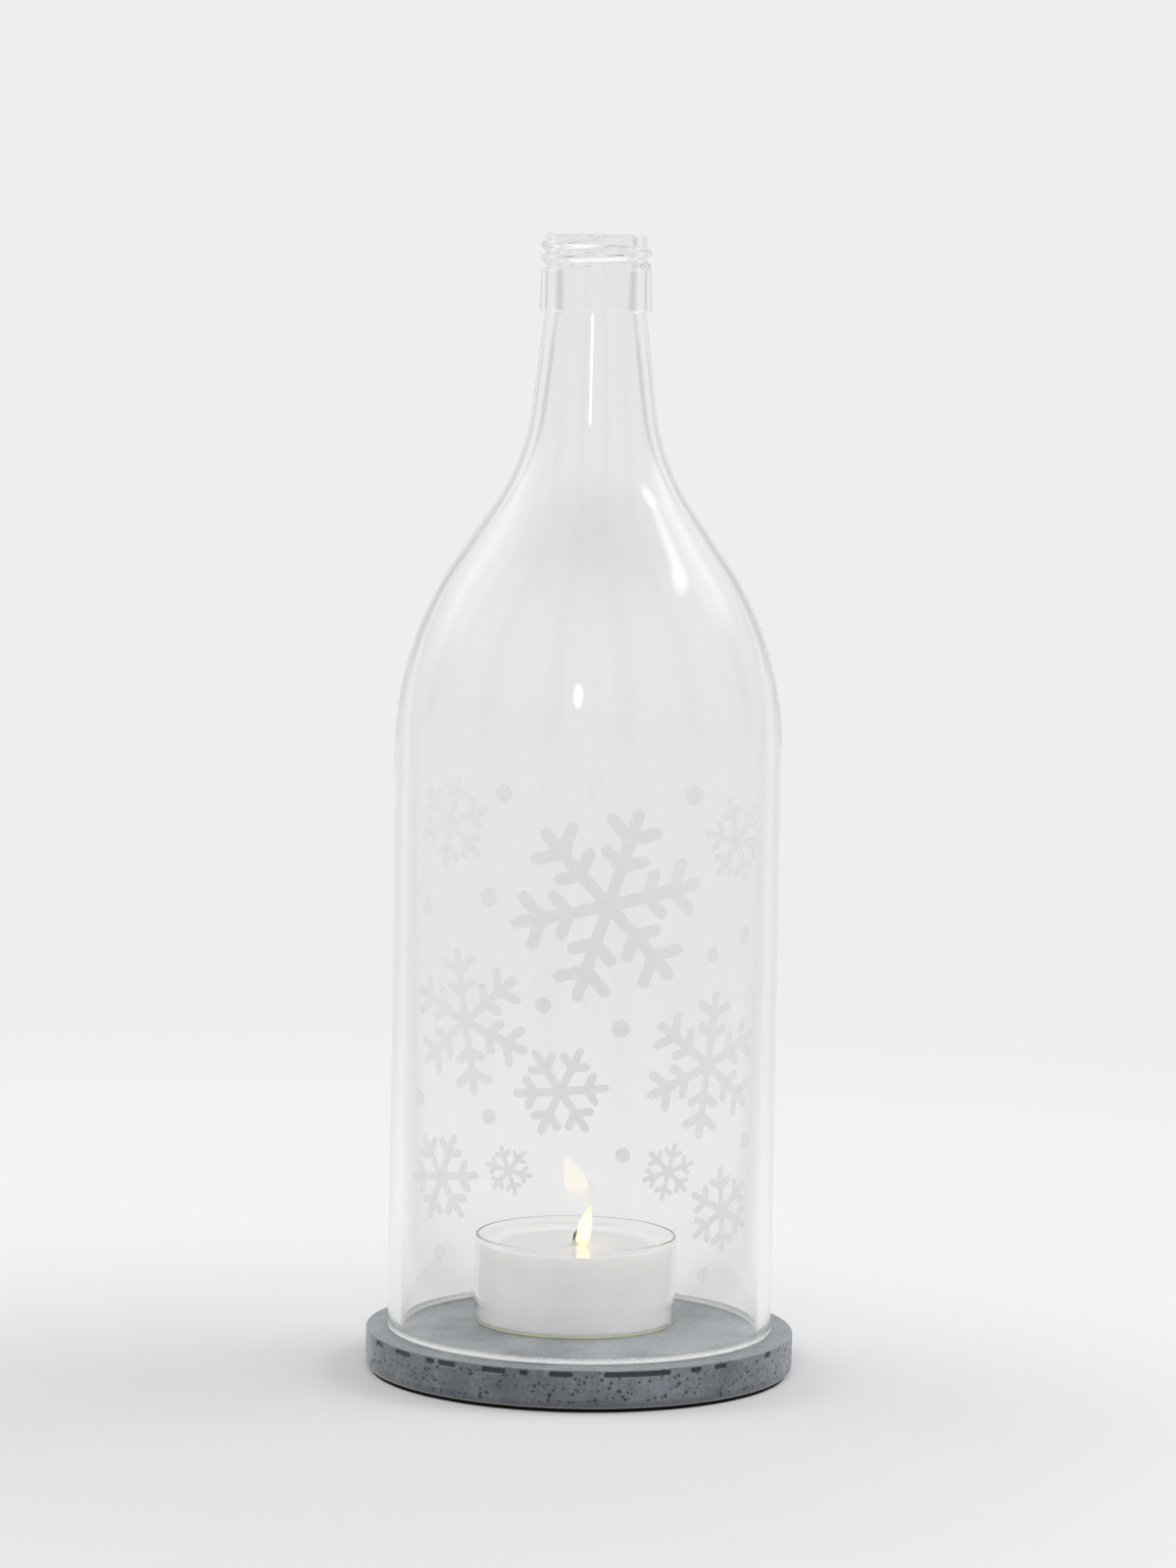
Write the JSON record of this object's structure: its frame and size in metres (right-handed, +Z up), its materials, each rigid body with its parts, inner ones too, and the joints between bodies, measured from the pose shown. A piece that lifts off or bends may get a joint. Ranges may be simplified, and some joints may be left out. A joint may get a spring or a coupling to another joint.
{
  "type": "bottle lantern",
  "caption": "Clear bottomless glass bottle standing on a round concrete base, sheltering a tealight in a clear cup.",
  "frame": {"origin": "centre of the foot pad's underside, on the surface that the lantern stands on", "axes": "+Z up along the bottle's axis, the pictured front faces -Y, +X to the viewer's right"},
  "size_m": [0.118, 0.118, 0.3129],
  "materials": {
    "concrete": "fine cast blue-grey concrete with small pores, smoother on top",
    "pad_rubber": "thin matte black rubber",
    "bottle_glass": "clear polished flint glass with a ground foot",
    "clear_cup": "thin clear polycarbonate",
    "wax": "white paraffin wax with a melted pool",
    "wick": "burnt cotton braid",
    "tinned_steel": "thin tinned sheet"
  },
  "bodies": {
    "base": {"concrete_base": "concrete", "foot_pad": "pad_rubber"},
    "bottle": {"glass_bottle": "bottle_glass"},
    "candle": {"candle_cup": "clear_cup", "candle_wax": "wax", "wick": "wick", "wick_sustainer": "tinned_steel"}
  },
  "joints": [
    {"name": "bottle_lift", "type": "slide", "parent": "base", "child": "bottle", "axis": [0, 0, 1], "range_m": [0, 0.12]},
    {"name": "candle_lift", "type": "slide", "parent": "base", "child": "candle", "axis": [0, 0, 1], "range_m": [0, 0.06]}
  ]
}
